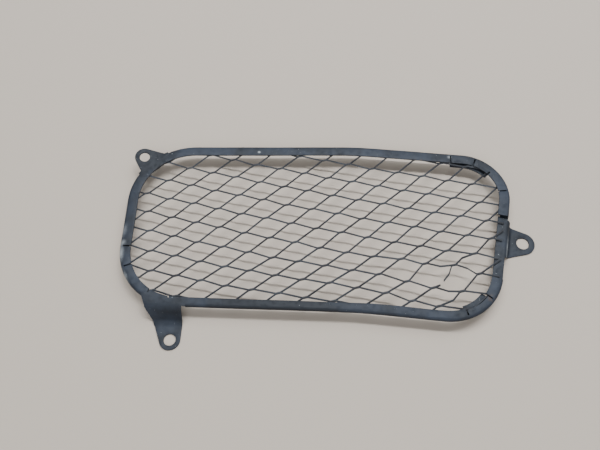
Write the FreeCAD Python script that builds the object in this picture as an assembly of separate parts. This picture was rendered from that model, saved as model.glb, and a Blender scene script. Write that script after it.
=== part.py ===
import FreeCAD, Part
import math
import os

# Motorcycle fairing grille: expanded-metal mesh clamped in a folded sheet-steel frame.
# Plan view is XY, the folded side of the frame faces +Z, all sizes are in millimetres.

# Rim outline in plan: corner points of the outer edge before rounding
left_x = -97.0
top_y = 52.0
top_bend_x = 34.0
top_right_x = 125.0
top_right_y = 43.5
bottom_right_x = 100.5
bottom_right_y = -58.0
bottom_bend_x = 29.5
bottom_bend_y = -50.5
bottom_left_y = -46.0
top_left_radius = 36.0
top_right_radius = 26.5
bottom_right_radius = 31.0
bottom_left_radius = 34.0
bend_radius = 200.0

# Frame sheet
sheet = 0.8
base_width = 4.4
pad_width = 5.4
web_width = 7.6
short_tab_width = 4.2
slit_width = 0.8
notch_end = 4.2
fold_flats = 6
foot_drop = 6.0

# Width of the folded flange along each side, clockwise from the top
flange_widths = (6.2, 6.4, 6.2, 5.3, 4.8, 6.1)

# Relief slits in the folded flange, as turns in degrees from the start of their corner
top_right_slits = (-13.8, 18.6, 81.2)
top_right_notch = 45.8
bottom_right_slits = (27.0, 59.0)
bottom_left_slits = (7.6, 28.8, 66.4, 88.0)

# Stretches of corner with a wider base ring or a shorter tab of flange, as turns in degrees
top_right_web = (-13.8, 45.8)
bottom_right_web = (27.0, 59.0)

# Ears: place along the rim, root either side of the hole, bare rim beyond the root
right_ear_along = 19.7
right_ear_root = (9.3, 13.8)
right_ear_bare = (1.3, 14.4)
right_ear_reach = 14.0
right_ear_end_radius = 6.6
right_ear_hole = 7.0
right_ear_slope = 75.0

lower_ear_along = 1.3
lower_ear_root = (4.7, 17.5)
lower_ear_bare = (2.0, 0.6)
lower_ear_reach = 19.2
lower_ear_end_radius = 5.4
lower_ear_hole = 6.2
lower_ear_slope = 58.0

upper_ear_along = 27.3
upper_ear_root = (7.5, 10.0)
upper_ear_bare = (2.0, 2.0)
upper_ear_reach = 4.6
upper_ear_end_radius = 5.5
upper_ear_hole = 5.8
upper_ear_rise = 10.0

bend_offset = 0.6

# Expanded metal
long_way = 26.2
short_way = 12.1
mesh_angle = 13.1
row_skew = 2.7
bond_length = 2.6
strand_width = 0.65
mesh_sheet = 0.85
strand_tilt = 45.0
mesh_start_x = -78.7
mesh_start_y = 40.1
row_sag = 1.73
row_stretch = 1.75
sag_span = 100.0
bond_wander = 0.25
squeeze = 0.16
squeeze_below = -18.0
squeeze_middle = 20.0
squeeze_span = 60.0
squeeze_lengthening = 70.0
mesh_clearance = 0.05
edge_clearance = 0.6

# Bonds pushed out of line round the tear, by column and row
dents = {
    (9, 3): (0.9, 1.4),
    (9, 4): (0.1, -1.3),
    (9, 5): (-1.5, -1.7),
    (10, 3): (-0.9, 1.0),
    (10, 4): (-1.3, -1.8),
    (10, 5): (-2.4, -1.3),
    (11, 3): (-0.3, 2.5),
    (11, 4): (-0.9, -1.3),
    (12, 2): (0.4, 1.1),
    (12, 3): (-2.0, 0.4),
    (13, 1): (-1.4, 0.5),
}
torn_bond = (10, 4)
short_stub = (2.6, 1.0)
long_stub = (-5.2, -8.6)
stub_bow = (0.5, -0.6)

# Strands bowed by the same blow, by the bonds at their ends
bows = {
    ((10, 3), (11, 3)): (0.3, -1.2),
    ((10, 4), (11, 4)): (0.2, -1.0),
    ((11, 3), (12, 2)): (-1.0, 0.8),
    ((11, 3), (12, 3)): (0.4, 0.6),
    ((10, 5), (11, 4)): (1.3, -0.9),
}

# Sizes that follow from the ones above
tilt = math.radians(strand_tilt)
mesh_depth = 2 * strand_width * math.sin(tilt) + mesh_sheet * math.cos(tilt)
fold_gap = mesh_depth + 2 * mesh_clearance
fold_radius = fold_gap / 2 + sheet
flange_level = 2 * fold_radius - sheet
flange_reach = max(flange_widths) + sheet
mesh_middle = sheet + mesh_clearance + mesh_depth / 2

# Edges of the rim outline in order, clockwise from the start of the top side
(TOP, TOP_BEND, TOP_FALL, TOP_RIGHT, RIGHT, BOTTOM_RIGHT,
 BOTTOM_FALL, BOTTOM_BEND, BOTTOM, BOTTOM_LEFT, LEFT, TOP_LEFT) = range(12)

Vector = FreeCAD.Vector
UP = Vector(0, 0, 1)


def rounded_outline(corners):
    """Return the edges of a closed polygon with each corner rounded to its own radius."""
    arcs = []
    for k, (x, y, radius) in enumerate(corners):
        corner = Vector(x, y, 0)
        back = (Vector(*corners[k - 1][:2], 0) - corner).normalize()
        ahead = (Vector(*corners[(k + 1) % len(corners)][:2], 0) - corner).normalize()
        half = back.getAngle(ahead) / 2
        run = radius / math.tan(half)
        middle = corner + (back + ahead).normalize() * (radius / math.sin(half) - radius)
        arcs.append((corner + back * run, middle, corner + ahead * run))
    edges = []
    for k, arc in enumerate(arcs):
        following = arcs[(k + 1) % len(arcs)]
        edges.append(Part.makeLine(arc[2], following[0]))
        edges.append(Part.Arc(*following).toShape())
    return edges


def inset_corners(corners, widths):
    """Return the corners of an outline set in from a clockwise one by its own width along each side."""
    sides = []
    for k, width in enumerate(widths):
        start = Vector(*corners[k][:2], 0)
        along = Vector(*corners[(k + 1) % len(corners)][:2], 0) - start
        sides.append((start + along.cross(UP).normalize() * width, along))
    inset = []
    for k, (x, y, radius) in enumerate(corners):
        (before, back), (after, ahead) = sides[k - 1], sides[k]
        reach = (after - before).cross(ahead).z / back.cross(ahead).z
        corner = before + back * reach
        inset.append((corner.x, corner.y, radius - (widths[k - 1] + widths[k]) / 2))
    return inset


rim_corners = [
    (left_x, top_y, top_left_radius),
    (top_bend_x, top_y, bend_radius),
    (top_right_x, top_right_y, top_right_radius),
    (bottom_right_x, bottom_right_y, bottom_right_radius),
    (bottom_bend_x, bottom_bend_y, bend_radius),
    (left_x, bottom_left_y, bottom_left_radius),
]
rim_edges = rounded_outline(rim_corners)
rim_wire = Part.Wire(rim_edges)
rim_face = Part.Face(rim_wire)


def rim_at(edge, along):
    """Return the placement of a point on the rim: X points outwards, Y runs anticlockwise, Z is up."""
    along += sum(e.Length for e in rim_edges[:edge])
    along %= rim_wire.Length
    k = 0
    while along > rim_edges[k].Length:
        along -= rim_edges[k].Length
        k += 1
    at = rim_edges[k].getParameterByLength(along)
    backwards = rim_edges[k].tangentAt(at) * -1
    turn = FreeCAD.Rotation(backwards.cross(UP), backwards, UP, "ZXY")
    return FreeCAD.Placement(rim_edges[k].valueAt(at), turn)


def placed(shape, placement):
    """Return a copy of a shape moved from the local frame of a rim point into the plan."""
    moved = shape.copy()
    moved.Placement = placement.multiply(moved.Placement)
    return moved


def rim_band(outer, inner, low, high):
    """Return a flat band that follows the rim between two distances in from its edge."""
    outside = rim_face.makeOffset2D(-outer) if outer else rim_face
    band = outside.cut(rim_face.makeOffset2D(-inner))
    band.translate(UP * low)
    return band.extrude(UP * (high - low))


def hem_profile(start):
    """Return the section of the folded edge at a point of the rim: fold, flange and a lip on the base."""

    def point(inward, height):
        return start.multVec(Vector(-inward, 0, height))

    def bent(radius, step):
        turn = math.pi * step / fold_flats
        return point(fold_radius - radius * math.sin(turn), fold_radius - radius * math.cos(turn))

    top = 2 * fold_radius
    lip = fold_radius + sheet
    outline = [point(lip, sheet), point(lip, 0)]
    outline += [bent(fold_radius, step) for step in range(fold_flats + 1)]
    outline += [point(flange_reach, top), point(flange_reach, top - sheet)]
    outline += [bent(fold_radius - sheet, step) for step in range(fold_flats, -1, -1)]
    return Part.Face(Part.makePolygon(outline + outline[:1]))


def folded_edge():
    """Return the hem all the way round: extruded along the sides and turned round the corners."""
    lengths = []
    for k, edge in enumerate(rim_edges):
        profile = hem_profile(rim_at(k, 0))
        if isinstance(edge.Curve, Part.Line):
            lengths.append(profile.extrude(edge.lastVertex(True).Point - edge.firstVertex(True).Point))
        else:
            turn = math.degrees(edge.Length / edge.Curve.Radius)
            inside = rim_at(k, 0).inverse().multVec(edge.Curve.Center).x < 0
            lengths.append(profile.revolve(edge.Curve.Center, UP, -turn if inside else turn))
    return lengths[0].fuse(lengths[1:]).removeSplitter()


def flange_mouth():
    """Return the cutter that trims the flange to its width along each side."""
    mouth = Part.Face(Part.Wire(rounded_outline(inset_corners(rim_corners, flange_widths))))
    mouth.translate(UP * fold_radius)
    return mouth.extrude(UP * 2 * fold_radius)


def slit(edge, along, closed_end):
    """Return the cutter for one relief slit, from the free edge of the flange to a distance from the rim."""
    cutter = Part.makeBox(flange_reach + sheet - closed_end, slit_width, 2 * fold_radius)
    cutter.translate(Vector(-flange_reach - sheet, -slit_width / 2, fold_radius))
    return placed(cutter, rim_at(edge, along))


def corner_slits(edge, radius, turns, closed_end):
    """Return the cutters for slits at the given turns from the start of a rim corner."""
    return [slit(edge, math.radians(turn) * radius, closed_end) for turn in turns]


def rim_block(edge, start, middle, end):
    """Return a tall block over a stretch of rim, from one distance along an edge to another."""
    before, between, after = (rim_at(edge, along) for along in (start, middle, end))
    inside = Vector(-2 * web_width, 0, 0)
    outside = Vector(2 * web_width, 0, 0)
    corners = [before.multVec(inside), before.multVec(outside), between.multVec(outside * 2),
               after.multVec(outside), after.multVec(inside)]
    block = Part.Face(Part.makePolygon(corners + corners[:1])).extrude(UP * 4 * fold_radius)
    block.translate(UP * -fold_radius)
    return block


def bare_stretch(edge, along, root, bare):
    """Return the block over the stretch of rim at an ear that has no folded edge."""
    return rim_block(edge, along - root[0] - bare[0], along, along + root[1] + bare[1])


def corner_block(edge, radius, turns):
    """Return the block over part of a rim corner, between two turns from its start."""
    start, end = (math.radians(turn) * radius for turn in turns)
    return rim_block(edge, start, (start + end) / 2, end)


def tangent_point(start, centre, radius, side):
    """Return where a line from a point touches a circle, on the given side of the line between them."""
    away = start - centre
    swing = side * math.degrees(math.acos(radius / away.Length))
    return centre + FreeCAD.Rotation(UP, swing).multVec(away.normalize() * radius)


def ear_blank(edge, along, root, reach, end_radius, hole):
    """Return the flat blank of an ear in the local frame of its rim point, with its hole drilled."""
    local = rim_at(edge, along).inverse()
    first = local.multVec(rim_at(edge, along - root[0]).Base)
    last = local.multVec(rim_at(edge, along + root[1]).Base)
    centre = Vector(reach, 0, 0)
    leave = tangent_point(first, centre, end_radius, -1)
    arrive = tangent_point(last, centre, end_radius, 1)
    inwards = Vector(-pad_width / 2, 0, 0)
    outline = Part.Wire([
        Part.makeLine(last + inwards, first + inwards),
        Part.makeLine(first + inwards, first),
        Part.makeLine(first, leave),
        Part.Arc(leave, centre + Vector(end_radius, 0, 0), arrive).toShape(),
        Part.makeLine(arrive, last),
        Part.makeLine(last, last + inwards),
    ])
    blank = Part.Face(outline).extrude(UP * sheet)
    return blank.cut(Part.makeCylinder(hole / 2, sheet, centre))


def bend(piece, distance, angle):
    """Return a flat piece bent along a line across it, upwards for a positive angle."""
    box = piece.BoundBox
    size = 2 * box.DiagonalLength
    near_side = Part.makeBox(size, size, size, Vector(distance - size, -size / 2, -size / 2))
    near = piece.common(near_side)
    far = piece.cut(near_side)
    hinge = Vector(distance, 0, sheet if angle > 0 else 0)
    axis = Vector(0, -1, 0)
    cut_face = min(far.Faces, key=lambda face: face.CenterOfMass.x)
    corner = cut_face.revolve(hinge, axis, angle)
    far.rotate(hinge, axis, angle)
    return near.fuse([corner, far]).removeSplitter()


def footed_ear(edge, along, root, reach, end_radius, hole, slope, level):
    """Return an ear that steps down to a foot from a level above the underside of the rim."""
    blank = ear_blank(edge, along, root, reach, end_radius, hole)
    angle = math.radians(slope)
    run = (foot_drop + level - sheet * (1 - math.cos(angle))) / math.sin(angle)
    ear = bend(bend(blank, bend_offset + run, slope), bend_offset, -slope)
    ear.translate(UP * level)
    return placed(ear, rim_at(edge, along))


def raised_ear(edge, along, root, reach, end_radius, hole, rise, level):
    """Return an ear that is bent up from a level above the underside of the rim."""
    ear = bend(ear_blank(edge, along, root, reach, end_radius, hole), bend_offset, rise)
    ear.translate(UP * level)
    return placed(ear, rim_at(edge, along))


def folded_frame():
    """Return the frame: base ring, slit flange and the ears, which leave the fold open behind them."""
    right_bare = bare_stretch(RIGHT, right_ear_along, right_ear_root, right_ear_bare)
    lower_bare = bare_stretch(BOTTOM_LEFT, lower_ear_along, lower_ear_root, lower_ear_bare)
    upper_bare = bare_stretch(TOP_LEFT, upper_ear_along, upper_ear_root, upper_ear_bare)
    top_right_block = corner_block(TOP_RIGHT, top_right_radius, top_right_web)
    bottom_right_block = corner_block(BOTTOM_RIGHT, bottom_right_radius, bottom_right_web)

    flange_band = rim_band(0, flange_reach, flange_level, flange_level + sheet)
    flange = folded_edge().cut([right_bare, lower_bare, upper_bare])
    flange = flange.fuse([flange_band.common(lower_bare), flange_band.common(upper_bare)])
    short_tab = rim_band(short_tab_width, flange_reach + sheet, fold_radius, 3 * fold_radius)
    cutters = [flange_mouth(), short_tab.common(bottom_right_block)]
    cutters += corner_slits(TOP_RIGHT, top_right_radius, top_right_slits, fold_radius)
    cutters += corner_slits(TOP_RIGHT, top_right_radius, [top_right_notch], notch_end)
    cutters += corner_slits(BOTTOM_RIGHT, bottom_right_radius, bottom_right_slits, fold_radius)
    cutters += corner_slits(BOTTOM_LEFT, bottom_left_radius, bottom_left_slits, fold_radius)
    flange = flange.cut(cutters)

    web_band = rim_band(fold_radius, web_width, 0, sheet)
    pieces = [
        flange,
        rim_band(0, pad_width, 0, sheet).common(right_bare),
        web_band.common(top_right_block),
        web_band.common(bottom_right_block),
        footed_ear(RIGHT, right_ear_along, right_ear_root, right_ear_reach,
                   right_ear_end_radius, right_ear_hole, right_ear_slope, 0),
        footed_ear(BOTTOM_LEFT, lower_ear_along, lower_ear_root, lower_ear_reach,
                   lower_ear_end_radius, lower_ear_hole, lower_ear_slope, flange_level),
        raised_ear(TOP_LEFT, upper_ear_along, upper_ear_root, upper_ear_reach,
                   upper_ear_end_radius, upper_ear_hole, upper_ear_rise, flange_level),
    ]
    base = rim_band(fold_radius, base_width, 0, sheet)
    return base.fuse(pieces).removeSplitter()


# Directions of the expanded metal: along the diamonds, and across each tilted strand
along_mesh = FreeCAD.Rotation(UP, mesh_angle).multVec(Vector(1, 0, 0))
across_mesh = UP.cross(along_mesh)
across_strand = across_mesh * math.cos(tilt) - UP * math.sin(tilt)
through_strand = along_mesh.cross(across_strand)
row_step = FreeCAD.Rotation(UP, -row_skew).multVec(across_mesh * -short_way)


def bond_centre(column, row):
    """Return the middle of the bond at a column and row of the mesh."""
    column_step = (along_mesh * long_way + row_step) * 0.5
    centre = Vector(mesh_start_x, mesh_start_y, mesh_middle) + column_step * column + row_step * row
    spread = (centre.x / sag_span) ** 2
    wander = Vector(math.sin(1.7 * column + 2.3 * row), math.cos(2.1 * column - 1.3 * row), 0) * bond_wander
    dent = Vector(*dents.get((column, row), (0, 0)), 0)
    centre += Vector(row_stretch, row_sag, 0) * spread + wander
    beside = centre.x - squeeze_middle
    push = squeeze * max(0, squeeze_below - centre.y) / (1 + (beside / squeeze_span) ** 2)
    return centre + Vector(push * beside / squeeze_lengthening, push, 0) + dent


def section(centre, low, high):
    """Return the corners of a strand section between two widths across the bond line."""
    return [centre + across_strand * (strand_width * a) + through_strand * (mesh_sheet / 2 * b)
            for a, b in ((low, -1), (high, -1), (high, 1), (low, 1))]


def polygon_face(points):
    """Return the flat face with the given corners."""
    return Part.Face(Part.makePolygon(points + points[:1]))


def strand_sides(start, end, bow=None):
    """Return the side faces of a strand between two sections, straight or bowed at its middle."""
    if bow:
        middle = [(a + b) * 0.5 + Vector(*bow, 0) for a, b in zip(start, end)]
        return strand_sides(start, middle) + strand_sides(middle, end)
    return [polygon_face([start[k], start[(k + 1) % 4], end[(k + 1) % 4], end[k]]) for k in range(4)]


def bond_faces(centre):
    """Return the faces of a bond apart from its two ends."""
    half = along_mesh * (bond_length / 2)
    lower = [section(centre + half * side, -1, 0) for side in (-1, 1)]
    upper = [section(centre + half * side, 0, 1) for side in (-1, 1)]
    faces = [polygon_face([lower[0][0], lower[1][0], lower[1][3], lower[0][3]]),
             polygon_face([upper[0][1], upper[1][1], upper[1][2], upper[0][2]])]
    for k, m in ((0, 1), (3, 2)):
        faces.append(polygon_face([lower[0][k], lower[0][m], upper[0][m],
                                   upper[1][m], upper[1][k], lower[1][k]]))
    return faces


def expanded_mesh():
    """Return the expanded metal with its broken strand, trimmed to lie inside the fold."""
    trim_inset = fold_radius + edge_clearance
    trim_face = rim_face.makeOffset2D(-trim_inset)
    reach = long_way / 2
    bonds = {}
    for column in range(-20, 40):
        for row in range(-20, 40):
            centre = bond_centre(column, row)
            flat = Part.Vertex(centre.x, centre.y, 0)
            if trim_face.BoundBox.isInside(Vector(centre.x, centre.y, 0)) or trim_face.distToShape(flat)[0] < reach:
                bonds[column, row] = centre
    half = along_mesh * (bond_length / 2)
    faces = []
    for (column, row), centre in bonds.items():
        faces += bond_faces(centre)
        links = [((column + 1, row - 1), (0, 1), (-1, 0)), ((column + 1, row), (-1, 0), (0, 1))]
        for other, leaves, arrives in links:
            start = section(centre + half, *leaves)
            if other not in bonds:
                faces.append(polygon_face(start))
                continue
            end = section(bonds[other] - half, *arrives)
            if (column, row) == torn_bond and other[1] < row:
                for root, stub, bow in ((start, short_stub, None), (end, long_stub, stub_bow)):
                    tip = [point + Vector(*stub, 0) for point in root]
                    faces += strand_sides(root, tip, bow) + [polygon_face(tip)]
                continue
            faces += strand_sides(start, end, bows.get(((column, row), other)))
        for other, arrives in (((column - 1, row + 1), (-1, 0)), ((column - 1, row), (0, 1))):
            if other not in bonds:
                faces.append(polygon_face(section(centre - half, *arrives)))
    shell = Part.makeShell(faces)
    shell.sewShape()
    sheet_metal = Part.makeSolid(shell)
    if sheet_metal.Volume < 0:
        sheet_metal.reverse()
    trim = trim_face.extrude(UP * 4 * fold_radius)
    trimmed = sheet_metal.common(trim)
    return max(trimmed.Solids, key=lambda solid: solid.Volume)


nodes = {"folded_frame": folded_frame(), "expanded_mesh": expanded_mesh()}

# The origin is the middle of the underside of the whole grille
box = FreeCAD.BoundBox()
for shape in nodes.values():
    box.add(shape.optimalBoundingBox(False, False))
to_origin = Vector(-box.Center.x, -box.Center.y, -box.ZMin)

os.makedirs("parts", exist_ok=True)
for name, shape in nodes.items():
    shape.translate(to_origin)
    shape.exportStep(f"parts/{name}.step")
    print(name, "solids", len(shape.Solids), "volume", round(shape.Volume, 1), "valid", shape.isValid())
print("size", round(box.XLength, 2), round(box.YLength, 2), round(box.ZLength, 2), "origin moved by", to_origin)
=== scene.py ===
"""Worn motorcycle fairing grille: painted sheet-steel frame folded round painted expanded metal."""

from __future__ import annotations

import logging
import math
from dataclasses import dataclass, field, replace
from enum import Enum

import bpy
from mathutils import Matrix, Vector, noise

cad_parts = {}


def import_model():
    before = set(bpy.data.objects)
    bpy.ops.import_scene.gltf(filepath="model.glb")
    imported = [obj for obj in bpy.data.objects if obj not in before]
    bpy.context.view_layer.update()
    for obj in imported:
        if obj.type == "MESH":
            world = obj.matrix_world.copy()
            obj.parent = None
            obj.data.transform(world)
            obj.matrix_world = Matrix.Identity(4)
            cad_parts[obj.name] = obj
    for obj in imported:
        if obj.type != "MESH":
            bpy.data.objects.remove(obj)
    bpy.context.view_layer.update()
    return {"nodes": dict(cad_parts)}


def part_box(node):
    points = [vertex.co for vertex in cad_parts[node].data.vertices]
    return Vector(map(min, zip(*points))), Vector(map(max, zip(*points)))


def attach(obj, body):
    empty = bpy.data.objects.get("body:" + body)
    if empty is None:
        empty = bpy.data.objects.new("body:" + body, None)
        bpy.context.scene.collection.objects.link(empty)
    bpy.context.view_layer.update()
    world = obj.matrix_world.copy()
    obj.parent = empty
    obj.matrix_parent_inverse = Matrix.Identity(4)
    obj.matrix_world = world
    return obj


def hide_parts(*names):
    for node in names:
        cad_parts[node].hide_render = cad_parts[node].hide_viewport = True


LOG = logging.getLogger("grille")
MM = 0.001
BODY = "root"

# How much of each finer layer stays in every noise
NOISE_ROUGHNESS = 0.55

# Sockets of the colour mix node, which share their names with its number sockets
MIX_MASK, MIX_BELOW, MIX_ABOVE, MIX_RESULT = 0, 6, 7, 2

Colour = tuple[float, float, float, float]
Tree = bpy.types.NodeTree
Socket = bpy.types.NodeSocket


class Surface(Enum):
    """Which faces of a painted piece a finish covers, by the number of its material slot."""

    FLAT = 0
    EDGE = 1


def linear(hex_colour: str) -> Colour:
    """Turn an sRGB hex colour into linear RGBA.

    Args:
        hex_colour: Six hex digits with a leading hash.

    Returns:
        The colour as linear red, green, blue and full alpha.
    """
    channels = [int(hex_colour[k:k + 2], 16) / 255 for k in (1, 3, 5)]
    # The standard sRGB curve, which is straight near black
    red, green, blue = (c / 12.92 if c <= 0.04045 else ((c + 0.055) / 1.055) ** 2.4 for c in channels)
    return red, green, blue, 1.0


def add_node(tree: Tree, kind: str, inputs: dict | None = None, **settings: object) -> bpy.types.Node:
    """Add a node, set its properties and fill or link its inputs.

    Args:
        tree: The node tree that gets the node.
        kind: The node's type name.
        inputs: Input name or index to a value, or to the socket that feeds it.
        settings: Properties of the node itself.

    Returns:
        The new node.
    """
    node = tree.nodes.new(kind)
    for name, value in settings.items():
        setattr(node, name, value)
    for key, value in (inputs or {}).items():
        if isinstance(value, Socket):
            tree.links.new(value, node.inputs[key])
        else:
            node.inputs[key].default_value = value
    return node


def select_only(piece: bpy.types.Object) -> None:
    """Deselect everything else and make one object active.

    Args:
        piece: The object to work on.
    """
    bpy.ops.object.select_all(action="DESELECT")
    piece.select_set(True)
    bpy.context.view_layer.objects.active = piece


@dataclass(frozen=True)
class Pattern:
    """An uneven coat of a finish: noise of a real size, and where in the noise the coat sets in.

    The coat is absent where the noise is under low and has its full cover where the noise is over high.
    """

    size_mm: float
    detail: float
    low: float
    high: float
    cover: float = 1.0

    def mask(self, tree: Tree, place: Socket) -> Socket:
        """Add the coat's mask to a material.

        Args:
            tree: The material's node tree.
            place: Object coordinates.

        Returns:
            The share of the surface that the coat hides, from 0 to its cover.
        """
        clouds = add_node(tree, "ShaderNodeTexNoise",
                          {"Vector": place, "Scale": 1.0 / (self.size_mm * MM), "Detail": self.detail,
                           "Roughness": NOISE_ROUGHNESS})
        share = add_node(tree, "ShaderNodeMapRange",
                         {"Value": clouds.outputs["Fac"], "From Min": self.low, "From Max": self.high,
                          "To Min": 0.0, "To Max": self.cover}, interpolation_type="SMOOTHSTEP")
        return share.outputs["Result"]


@dataclass(frozen=True)
class Relief:
    """Shallow unevenness of the painted sheet: how wide its swellings are, how deep and how strong."""

    size_mm: float
    depth_mm: float
    strength: float
    detail: float = 2.0

    def normal(self, tree: Tree, place: Socket, finer: Socket | None = None) -> Socket:
        """Add the unevenness to the surface's normal.

        Args:
            tree: The material's node tree.
            place: Object coordinates.
            finer: The normal of a finer relief to add to, if there is one.

        Returns:
            The uneven normal.
        """
        height = add_node(tree, "ShaderNodeTexNoise",
                          {"Vector": place, "Scale": 1.0 / (self.size_mm * MM), "Detail": self.detail,
                           "Roughness": NOISE_ROUGHNESS})
        inputs = {"Strength": self.strength, "Distance": self.depth_mm * MM, "Height": height.outputs["Fac"]}
        if finer is not None:
            inputs["Normal"] = finer
        return add_node(tree, "ShaderNodeBump", inputs).outputs["Normal"]


@dataclass(frozen=True)
class Mark:
    """A soft oval place in plan where a finish differs, in millimetres and degrees of the part's frame."""

    x: float
    y: float
    half_length: float
    half_width: float
    turn: float
    strength: float

    def mask(self, tree: Tree, place: Socket) -> Socket:
        """Add the place's mask to a material.

        Args:
            tree: The material's node tree.
            place: Object coordinates.

        Returns:
            A mask that falls from its strength in the middle of the oval to 0 at its rim.
        """
        local = add_node(tree, "ShaderNodeMapping",
                         {"Vector": place, "Location": (self.x * MM, self.y * MM, 0.0),
                          "Rotation": (0.0, 0.0, math.radians(self.turn)),
                          "Scale": (self.half_length * MM, self.half_width * MM, 1.0)},
                         vector_type="TEXTURE")
        away = add_node(tree, "ShaderNodeVectorMath", {0: local.outputs["Vector"]}, operation="LENGTH")
        share = add_node(tree, "ShaderNodeMapRange",
                         {"Value": away.outputs["Value"], "From Min": 1.0, "From Max": 0.0,
                          "To Min": 0.0, "To Max": self.strength}, interpolation_type="SMOOTHSTEP")
        return share.outputs["Result"]


def all_marks(tree: Tree, place: Socket, marks: tuple[Mark, ...]) -> Socket:
    """Add up the masks of several places.

    Args:
        tree: The material's node tree.
        place: Object coordinates.
        marks: The places, at least one.

    Returns:
        One mask of all the places.
    """
    total = marks[0].mask(tree, place)
    for mark in marks[1:]:
        total = add_node(tree, "ShaderNodeMath", {0: total, 1: mark.mask(tree, place)},
                         operation="ADD", use_clamp=True).outputs["Value"]
    return total


@dataclass(frozen=True)
class WornPaint:
    """Satin black stoving paint on steel, faded to blue-grey, dusty, chipped and rusting in places.

    The paint is a dielectric film, so it keeps the shader's own IOR, which suits paint, and has a middling
    roughness. Age shows as a slow change of tone, a thin grey dust, pale chips and a few brown stains. Some
    marks are painted light: painted shade that holds the fading back, a pale painted highlight and a brown
    painted shadow.
    """

    name: str
    surface: Surface
    paint: str = "#0f151e"
    faded: str = "#272f3c"
    dust: str = "#8c8a86"
    chip_and_highlight: str = "#b9bcbd"
    rust_and_shadow: str = "#5f4a38"
    roughness: float = 0.62
    dusty_roughness: float = 0.84
    fading: Pattern = Pattern(16.0, 3.0, 0.32, 0.70)
    # Grains of dust are too fine to show, so they are drawn as blots of a few millimetres
    dusting: Pattern = Pattern(2.4, 5.0, 0.45, 0.75, cover=0.03)
    rub_and_highlight_breakup: Pattern = Pattern(3.0, 4.0, 0.20, 0.60)
    # The pale, broken line that hands and dirt leave along an edge
    handling: Pattern = Pattern(5.0, 4.0, 0.42, 0.62, cover=0.2)
    chipping: Pattern = Pattern(0.9, 3.0, 0.72, 0.76)
    rust_and_shadow_breakup: Pattern = Pattern(2.2, 5.0, 0.42, 0.58)
    # The peel of sprayed paint is some 0.3 mm wide and is drawn at 0.7 mm, because a pixel spans 0.55 mm
    peel: Relief = Relief(0.7, 0.05, 0.25)
    dents: Relief = Relief(7.0, 0.8, 0.6)
    # Brown marks: rust stains, and a painted shadow along an inner edge
    rust_and_shadow_marks: tuple[Mark, ...] = ()
    # Pale marks: bare spots and patches, and a painted highlight on the right ear's bend
    rub_and_highlight_marks: tuple[Mark, ...] = ()
    # Places where painted shade holds the fading back
    painted_shade_marks: tuple[Mark, ...] = ()

    def coats(self, tree: Tree, place: Socket, dusty: Socket) -> list[tuple[Socket, str]]:
        """Add the masks of what lies over the black paint.

        Args:
            tree: The material's node tree.
            place: Object coordinates.
            dusty: The mask of the dust.

        Returns:
            Each coat's mask and colour, from the bottom up.
        """
        fade_and_painted_shade = self.fading.mask(tree, place)
        # Painted shade: these marks take away from the fading, so those places stay darker
        if self.painted_shade_marks:
            painted_shade = all_marks(tree, place, self.painted_shade_marks)
            fade_and_painted_shade = add_node(tree, "ShaderNodeMath", {0: fade_and_painted_shade, 1: painted_shade},
                            operation="SUBTRACT", use_clamp=True).outputs["Value"]
        coats = [(fade_and_painted_shade, self.faded), (dusty, self.dust)]
        # Pale marks: bare spots and patches, and a painted highlight at the right ear's bend
        if self.rub_and_highlight_marks:
            coats.append((self.broken_marks(tree, place, self.rub_and_highlight_marks, self.rub_and_highlight_breakup), self.chip_and_highlight))
        if self.surface is Surface.EDGE:
            coats.append((self.handling.mask(tree, place), self.dust))
        coats.append((self.chipping.mask(tree, place), self.chip_and_highlight))
        # Brown marks: a rust stain, and a painted shadow along the top rim's inner edge
        if self.rust_and_shadow_marks:
            coats.append((self.broken_marks(tree, place, self.rust_and_shadow_marks, self.rust_and_shadow_breakup), self.rust_and_shadow))
        return coats

    @staticmethod
    def broken_marks(tree: Tree, place: Socket, marks: tuple[Mark, ...], pattern: Pattern) -> Socket:
        """Add a mask of several places whose outlines a pattern breaks up.

        Args:
            tree: The material's node tree.
            place: Object coordinates.
            marks: The places, at least one.
            pattern: What breaks them up.

        Returns:
            The mask.
        """
        inside, broken = all_marks(tree, place, marks), pattern.mask(tree, place)
        return add_node(tree, "ShaderNodeMath", {0: inside, 1: broken},
                        operation="MULTIPLY", use_clamp=True).outputs["Value"]

    def material(self) -> bpy.types.Material:
        """Build the paint as a material.

        Returns:
            The finished material.
        """
        made = bpy.data.materials.new(self.name)
        made.use_nodes = True
        tree = made.node_tree
        tree.nodes.clear()
        place = add_node(tree, "ShaderNodeTexCoord").outputs["Object"]
        dusty = self.dusting.mask(tree, place)
        colour = linear(self.paint)
        for mask, tint in self.coats(tree, place, dusty):
            layer = add_node(tree, "ShaderNodeMix",
                             {MIX_MASK: mask, MIX_BELOW: colour, MIX_ABOVE: linear(tint)}, data_type="RGBA")
            colour = layer.outputs[MIX_RESULT]
        rough = add_node(tree, "ShaderNodeMapRange",
                         {"Value": dusty, "From Min": 0.0, "From Max": self.dusting.cover,
                          "To Min": self.roughness, "To Max": self.dusty_roughness})
        normal = self.dents.normal(tree, place, self.peel.normal(tree, place))
        shader = add_node(tree, "ShaderNodeBsdfPrincipled",
                          {"Base Color": colour, "Roughness": rough.outputs["Result"], "Normal": normal})
        add_node(tree, "ShaderNodeOutputMaterial", {"Surface": shader.outputs["BSDF"]})
        return made


# A brown painted shadow along the inner edge of the long straight side, where shade falls under the rim, and
# a brown rust stain at the lower right corner
RUST_AND_SHADOW_MARKS = (
    # Painted shadow: brown along the inner edge of the long straight side, where the rim shades what lies
    # under it
    Mark(51.0, 49.8, 7.0, 1.8, 4.0, 0.5),
    Mark(81.7, -35.1, 3.0, 3.0, 0.0, 0.6),
)

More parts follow.
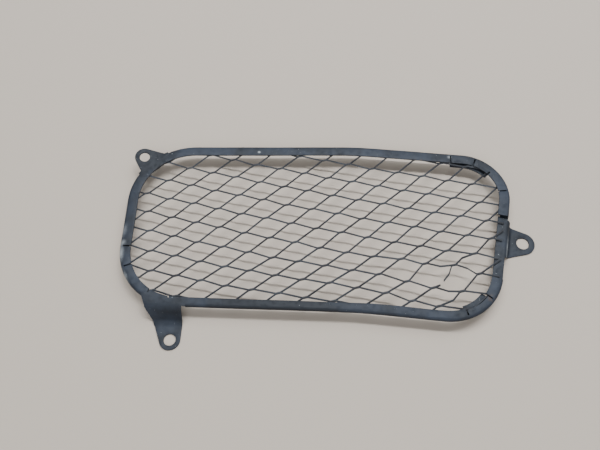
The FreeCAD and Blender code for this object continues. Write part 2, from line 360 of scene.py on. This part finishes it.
# Bare spots on the long straight side, paler patches along the left end, and a painted highlight along the
# bend of the right ear
RUB_AND_HIGHLIGHT_MARKS = (
    Mark(-40.5, 55.7, 1.3, 1.1, 0.0, 0.9),
    Mark(70.7, 52.3, 2.0, 1.6, 0.0, 0.45),
    Mark(-112.2, -3.4, 2.8, 2.8, 0.0, 0.4),
    Mark(-112.8, -10.2, 7.5, 3.0, -87.0, 0.6),
    Mark(-108.6, -23.4, 8.5, 2.2, -63.0, 0.55),
    Mark(-112.6, 4.0, 6.0, 2.4, 84.0, 0.25),
    # Painted highlight: a pale line on the right ear's bend, where the bend catches the light
    Mark(96.3, -5.0, 11.0, 1.3, 77.0, 0.4),
)

# Painted shade: the upper left ear, the lower left ear's foot and the lower side are held back from fading,
# so they stay darker, as if less light fell on them
PAINTED_SHADE_MARKS = (
    Mark(-105.0, 50.5, 20.0, 15.0, -40.0, 1.0),
    Mark(-83.0, -55.0, 10.0, 10.0, 0.0, 0.9),
    Mark(-25.0, -40.0, 65.0, 10.0, -1.0, 0.8),
)

# Stoved black on pressed sheet: dark and satin, in slow clouds of blue-grey with pale specks; painted shade
# keeps the lower side and two ears darker, with a painted highlight at the right ear and a painted shadow
# along the top inner edge
FRAME_PAINT = WornPaint("stoved_black_on_frame", Surface.FLAT, rust_and_shadow_marks=RUST_AND_SHADOW_MARKS, rub_and_highlight_marks=RUB_AND_HIGHLIGHT_MARKS,
                        painted_shade_marks=PAINTED_SHADE_MARKS)

# The same coat worn thin on the frame's edges: a pale, broken line that draws every fold and slit
FRAME_EDGE_PAINT = replace(FRAME_PAINT, name="rubbed_black_on_frame_edges", surface=Surface.EDGE,
                           chipping=replace(FRAME_PAINT.chipping, low=0.71, high=0.75))

# Stoved black on the strands, weathered to a dull charcoal with few chips and smaller clouds
MESH_PAINT = WornPaint("stoved_black_on_mesh", Surface.FLAT, paint="#36363a", faded="#46494e",
                       fading=replace(FRAME_PAINT.fading, size_mm=9.0),
                       chipping=replace(FRAME_PAINT.chipping, low=0.74, high=0.78))

# The same coat on the strands' edges, painted a shade lighter as a painted highlight, so that each strand
# shows a thin painted line of light
MESH_EDGE_PAINT = replace(MESH_PAINT, name="rubbed_black_with_painted_highlight_on_mesh_edges", surface=Surface.EDGE,
                          paint="#3a3b40", faded="#4c4f55", handling=replace(MESH_PAINT.handling, cover=0.1))


@dataclass(frozen=True)
class Bend:
    """A bend of the sheet, known by the sharp crease on its inner side.

    The level and the sloping sheet lead away from the crease along level_way and slope_way, and level_out
    and slope_out point through them to the outer side. The rounded bend starts at reach from the crease on
    both. Sizes are in metres, apart from those whose names say millimetres.
    """

    start: Vector
    along: Vector
    length: float
    level_way: Vector
    slope_way: Vector
    level_out: Vector
    slope_out: Vector
    reach: float
    sheet: float
    near_mm: float = 7.0
    taper_mm: float = 0.8
    slack_mm: float = 0.12

    @property
    def turn(self) -> float:
        """Give the angle of the bend in radians."""
        return self.level_out.angle(self.slope_out)

    @property
    def half_fan(self) -> float:
        """Give half the length of the sharp bend's own arc, at the middle of the sheet."""
        return self.sheet * self.turn / 4

    def is_near(self, place: Vector) -> bool:
        """Tell whether a place is close to the bend.

        Args:
            place: The place to test.

        Returns:
            True where it is within near_mm of the crease.
        """
        near = self.near_mm * MM
        along = (place - self.start).dot(self.along)
        across = (place - self.start - self.along * along).length
        return across < near and -near < along < self.length + near

    def unrolled(self, across: Vector) -> tuple[float, float] | None:
        """Find where a point of the sharply bent sheet lies when the sheet is laid flat.

        Args:
            across: The point's way from the crease, square to the crease.

        Returns:
            Its distance from the middle of the bend, positive on the level side, and its depth from the
            inner skin, or None where the point isn't in the sheet.
        """
        slack = self.slack_mm * MM
        on_level, on_slope = across.dot(self.level_way), across.dot(self.slope_way)
        under_level, under_slope = across.dot(self.level_out), across.dot(self.slope_out)
        if on_level >= 0 and -slack < under_level < self.sheet + slack:
            return on_level + self.half_fan, under_level
        if on_slope >= 0 and -slack < under_slope < self.sheet + slack:
            return -on_slope - self.half_fan, under_slope
        if on_level < 0 and on_slope < 0 and slack < across.length < self.sheet + slack:
            lean = across.angle(self.slope_out) - across.angle(self.level_out)
            return self.half_fan * lean / self.turn, across.length
        return None

    def rounded(self, place: Vector) -> Vector:
        """Move a point of the sharply bent sheet to where it lies on the rounded bend.

        Args:
            place: A point of the sheet's skin.

        Returns:
            The point on the arc, or the same point where the bend doesn't reach it.
        """
        taper = self.taper_mm * MM
        along = (place - self.start).dot(self.along)
        beyond = max(-along, along - self.length, 0.0)
        across = place - self.start - self.along * along
        if beyond > taper or across.length > self.reach + self.sheet:
            return place
        flat = self.unrolled(across)
        if flat is None or abs(flat[0]) > self.reach + self.half_fan:
            return place
        share, depth = flat[0] / (self.reach + self.half_fan), flat[1]
        radius = self.reach / math.tan(self.turn / 2)
        centre = -(self.level_out + self.slope_out).normalized() * (radius / math.cos(self.turn / 2))
        # The share runs from -1, where the arc meets the slope, to 1, where it meets the level sheet
        outward = self.slope_out.slerp(self.level_out, (1 + share) / 2)
        moved = self.start + self.along * along + centre + outward * (radius + depth)
        return moved.lerp(place, beyond / taper)


@dataclass
class PaintedPiece:
    """A steel piece copied from its CAD solid, with its sharp edges eased by paint and handling."""

    node: str
    slot: str
    edge_radius_mm: float
    edge_segments: int
    sharp_degrees: float
    flat_finish: WornPaint
    edge_finish: WornPaint
    weld_mm: float = 0.002
    flat_degrees: float = 0.5
    piece: bpy.types.Object | None = field(default=None, init=False)

    def copy_solid(self, source: bpy.types.Object) -> None:
        """Copy the CAD mesh into a new object and close its loose triangles into one skin.

        Args:
            source: The CAD node's object.
        """
        self.piece = bpy.data.objects.new(f"{self.node}_painted", source.data.copy())
        bpy.context.scene.collection.objects.link(self.piece)
        self.piece.data.materials.clear()
        select_only(self.piece)
        bpy.ops.object.mode_set(mode="EDIT")
        bpy.ops.mesh.select_mode(type="VERT")
        bpy.ops.mesh.select_all(action="SELECT")
        bpy.ops.mesh.remove_doubles(threshold=self.weld_mm * MM)
        bpy.ops.mesh.customdata_custom_splitnormals_clear()
        bpy.ops.mesh.dissolve_limited(angle_limit=math.radians(self.flat_degrees))
        bpy.ops.object.mode_set(mode="OBJECT")

    def dress(self) -> None:
        """Give the piece its two finishes, in the order of the surfaces' slots."""
        for finish in (self.flat_finish, self.edge_finish):
            self.piece.data.materials.append(finish.material())

    def ease_edges(self) -> None:
        """Round the sharp edges and give the rounded strips the edge finish."""
        select_only(self.piece)
        bpy.ops.object.mode_set(mode="EDIT")
        bpy.ops.mesh.select_mode(type="EDGE")
        bpy.ops.mesh.select_all(action="DESELECT")
        bpy.ops.mesh.edges_select_sharp(sharpness=math.radians(self.sharp_degrees))
        bpy.ops.mesh.bevel(offset=self.edge_radius_mm * MM, segments=self.edge_segments, affect="EDGES",
                           clamp_overlap=True, material=Surface.EDGE.value)
        bpy.ops.object.mode_set(mode="OBJECT")

    def smooth(self) -> None:
        """Shade the rounded faces smoothly and keep real corners crisp."""
        select_only(self.piece)
        bpy.ops.object.shade_smooth_by_angle(angle=math.radians(self.sharp_degrees))

    def hand_over(self) -> None:
        """Let the piece stand for its CAD node and move with its body."""
        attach(self.piece, BODY)
        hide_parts(self.node)


@dataclass
class FoldedFrame(PaintedPiece):
    """The folded sheet-steel frame, with the round bends of its ears and the slight waves of its folds."""

    node: str = "folded_frame"
    slot: str = "frame_paint"
    edge_radius_mm: float = 0.16
    edge_segments: int = 2
    sharp_degrees: float = 38.0
    flat_finish: WornPaint = FRAME_PAINT
    edge_finish: WornPaint = FRAME_EDGE_PAINT
    sheet_mm: float = 0.8
    # A bend takes up this share of the sloping sheet, at each of its two ends
    bend_share: float = 0.28
    bend_cuts: int = 4
    bend_degrees: float = 45.0
    # Least upright part of the normal of a level face, and of a sloping face that isn't a wall
    level_upright: float = 0.99
    slope_upright: float = 0.1
    grid_mm: float = 5.0
    wave_mm: float = 0.22
    wave_length_mm: float = 26.0
    sideways_share: float = 0.6
    # The waves lift nothing below the first height and lift fully from the second
    still_mm: float = 5.0
    lively_mm: float = 8.0
    # Two heights in the noise, far enough apart to give waves that aren't alike
    lift_layer: float = 0.3
    shift_layer: float = 7.1

    def build(self, source: bpy.types.Object) -> None:
        """Make the frame from its CAD solid.

        Args:
            source: The CAD node's object.
        """
        self.copy_solid(source)
        self.round_bends()
        self.dress()
        self.ease_edges()
        self.wave()
        self.smooth()
        self.hand_over()

    def find_bends(self) -> list[Bend]:
        """Find the ears' bends, which are the inner creases between a level face and a sloping one.

        Returns:
            The bends.
        """
        mesh = self.piece.data
        sides: dict[tuple[int, int], list[bpy.types.MeshPolygon]] = {}
        for face in mesh.polygons:
            for key in face.edge_keys:
                sides.setdefault(key, []).append(face)
        bends = []
        for key, faces in sides.items():
            slope, level = sorted(faces, key=lambda face: abs(face.normal.z))
            turn = level.normal.angle(slope.normal)
            if abs(level.normal.z) < self.level_upright or turn < math.radians(self.bend_degrees):
                continue
            start, end = (mesh.vertices[k].co.copy() for k in key)
            # On the inner side of a bend, the slope stands in front of the level face
            if level.normal.dot(slope.center - start) <= 0 or abs(slope.normal.z) < self.slope_upright:
                continue
            along = (end - start).normalized()
            level_way, slope_way = (self.way_from(face, start, along) for face in (level, slope))
            slope_length = max((mesh.vertices[k].co - start).dot(slope_way) for k in slope.vertices)
            bends.append(Bend(start, along, (end - start).length, level_way, slope_way, -level.normal,
                              -slope.normal, slope_length * self.bend_share, self.sheet_mm * MM))
        return bends

    @staticmethod
    def way_from(face: bpy.types.MeshPolygon, start: Vector, along: Vector) -> Vector:
        """Give the direction in a face that leads straight away from its crease."""
        way = along.cross(face.normal).normalized()
        return way if way.dot(face.center - start) > 0 else -way

    def round_bends(self) -> None:
        """Give the ears' bends the radius of pressed sheet."""
        bends = self.find_bends()
        self.divide()
        mesh = self.piece.data
        for bend in bends:
            self.cut_beside(bend)
            for vertex in mesh.vertices:
                vertex.co = bend.rounded(vertex.co)

    def divide(self) -> None:
        """Cut the skin along a grid so that long faces can follow a gentle wave."""
        low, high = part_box(self.node)
        step = self.grid_mm * MM
        select_only(self.piece)
        bpy.ops.object.mode_set(mode="EDIT")
        for axis, normal in enumerate((Vector((1, 0, 0)), Vector((0, 1, 0)))):
            for k in range(1, int((high[axis] - low[axis]) / step)):
                bpy.ops.mesh.select_all(action="SELECT")
                bpy.ops.mesh.bisect(plane_co=low + normal * (k * step), plane_no=normal)
        bpy.ops.object.mode_set(mode="OBJECT")

    def cut_beside(self, bend: Bend) -> None:
        """Cut the sheet on both sides of a crease, so that it can follow an arc.

        Args:
            bend: The bend to prepare.
        """
        mesh = self.piece.data
        select_only(self.piece)
        for way in (bend.level_way, bend.slope_way):
            for k in range(1, self.bend_cuts + 1):
                bpy.ops.object.mode_set(mode="EDIT")
                bpy.ops.mesh.select_mode(type="FACE")
                bpy.ops.mesh.select_all(action="DESELECT")
                bpy.ops.object.mode_set(mode="OBJECT")
                for face in mesh.polygons:
                    face.select = bend.is_near(face.center)
                bpy.ops.object.mode_set(mode="EDIT")
                place = bend.start + way * (bend.reach * k / self.bend_cuts)
                bpy.ops.mesh.bisect(plane_co=place, plane_no=way)
                bpy.ops.object.mode_set(mode="OBJECT")

    def wave(self) -> None:
        """Move the skin up, down and sideways by slow noise, and keep it inside the solid's box."""
        low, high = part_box(self.node)
        rise = (self.lively_mm - self.still_mm) * MM
        for vertex in self.piece.data.vertices:
            place = vertex.co / (self.wave_length_mm * MM)
            lift = noise.noise(Vector((place.x, place.y, self.lift_layer)))
            shift = noise.noise(Vector((place.x, place.y, self.shift_layer))) * self.sideways_share
            level = min(1.0, max(0.0, (vertex.co.z - self.still_mm * MM) / rise))
            vertex.co += Vector((shift, -shift, lift * level)) * (self.wave_mm * MM)
            vertex.co = Vector(min(max(c, a), b) for c, a, b in zip(vertex.co, low, high))


@dataclass
class ExpandedMesh(PaintedPiece):
    """The expanded metal, its strands rounded by paint."""

    node: str = "expanded_mesh"
    slot: str = "mesh_paint"
    edge_radius_mm: float = 0.14
    edge_segments: int = 1
    sharp_degrees: float = 30.0
    flat_finish: WornPaint = MESH_PAINT
    edge_finish: WornPaint = MESH_EDGE_PAINT
    film_mm: float = 0.045

    def build(self, source: bpy.types.Object) -> None:
        """Make the mesh from its CAD solid.

        Args:
            source: The CAD node's object.
        """
        self.copy_solid(source)
        self.coat()
        self.dress()
        self.ease_edges()
        self.smooth()
        self.hand_over()

    def coat(self) -> None:
        """Thicken the strands by the paint film on them."""
        select_only(self.piece)
        bpy.ops.object.mode_set(mode="EDIT")
        bpy.ops.mesh.select_all(action="SELECT")
        bpy.ops.transform.shrink_fatten(value=self.film_mm * MM)
        bpy.ops.object.mode_set(mode="OBJECT")


@dataclass(frozen=True)
class Lamp:
    """A rectangular lamp that shines straight down, turned by some degrees about the vertical."""

    name: str
    place_mm: tuple[float, float, float]
    size_m: tuple[float, float]
    watts: float
    turn: float = 0.0
    # Cool daylight, in linear red, green and blue
    tint: tuple[float, float, float] = (0.88, 0.94, 1.0)

    def hang(self) -> None:
        """Hang the lamp in the scene."""
        light = bpy.data.lights.new(self.name, "AREA")
        light.shape = "RECTANGLE"
        light.size, light.size_y = self.size_m
        light.energy = self.watts
        light.color = self.tint
        hung = bpy.data.objects.new(self.name, light)
        hung.location = Vector(self.place_mm) * MM
        hung.rotation_euler = (0.0, 0.0, math.radians(self.turn))
        bpy.context.scene.collection.objects.link(hung)


@dataclass
class Studio:
    """Pale floor, soft light from behind and in front, and the camera."""

    floor_colour: str = "#c6b8a9"
    floor_roughness: float = 0.9
    floor_gloss: float = 0.2
    floor_half_m: float = 8.0
    # A long strip draws the strands' shadows, a softbox fills in from behind and a weaker one from the front
    lamps: tuple[Lamp, ...] = (
        Lamp("strip_light", (-40.0, 400.0, 1200.0), (1.1, 0.05), 16.5, turn=-12.0),
        Lamp("softbox", (750.0, 950.0, 1500.0), (1.5, 1.5), 24.0),
        Lamp("front_fill", (-200.0, -1000.0, 900.0), (1.6, 1.0), 11.0),
    )
    fill_colour: str = "#f4f6fa"
    fill_strength: float = 0.25
    eye_mm: tuple[float, float, float] = (-16.56, -142.66, 291.3)
    elevation: float = 62.0
    lens_mm: float = 35.0
    sensor_mm: float = 36.0
    nearest_mm: float = 10.0

    def build(self) -> None:
        """Set up the floor, the lights and the camera."""
        self.lay_floor()
        self.hang_lights()
        self.place_camera()

    def lay_floor(self) -> None:
        """Lay a large pale sheet under the feet."""
        bpy.ops.object.select_all(action="DESELECT")
        bpy.ops.mesh.primitive_plane_add(size=2 * self.floor_half_m)
        floor = bpy.context.active_object
        floor.name = "studio_floor"
        # Uncoated card: plain and quite matt, so that only the shadows show on it
        card = bpy.data.materials.new("matt_pale_card")
        card.use_nodes = True
        shader = card.node_tree.nodes["Principled BSDF"]
        shader.inputs["Base Color"].default_value = linear(self.floor_colour)
        shader.inputs["Roughness"].default_value = self.floor_roughness
        shader.inputs["Specular IOR Level"].default_value = self.floor_gloss
        floor.data.materials.append(card)

    def hang_lights(self) -> None:
        """Hang the lamps and light everything evenly from all round."""
        for lamp in self.lamps:
            lamp.hang()
        world = bpy.data.worlds.new("soft_fill")
        world.use_nodes = True
        sky = world.node_tree.nodes["Background"]
        sky.inputs["Color"].default_value = linear(self.fill_colour)
        sky.inputs["Strength"].default_value = self.fill_strength
        bpy.context.scene.world = world

    def place_camera(self) -> None:
        """Put the camera where the photograph was taken from."""
        lens = bpy.data.cameras.new("front_camera")
        lens.lens = self.lens_mm
        lens.sensor_width = self.sensor_mm
        lens.clip_start = self.nearest_mm * MM
        camera = bpy.data.objects.new("front_camera", lens)
        camera.location = Vector(self.eye_mm) * MM
        camera.rotation_euler = (math.radians(90.0 - self.elevation), 0.0, 0.0)
        bpy.context.scene.collection.objects.link(camera)
        bpy.context.scene.camera = camera


def main() -> None:
    """Build the grille and its studio, and report each piece."""
    logging.basicConfig(level=logging.INFO, format="%(name)s: %(message)s")
    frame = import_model()
    for part in (FoldedFrame(), ExpandedMesh()):
        part.build(frame["nodes"][part.node])
        LOG.info("%s: %d faces", part.piece.name, len(part.piece.data.polygons))
    Studio().build()


if __name__ == "__main__":
    main()
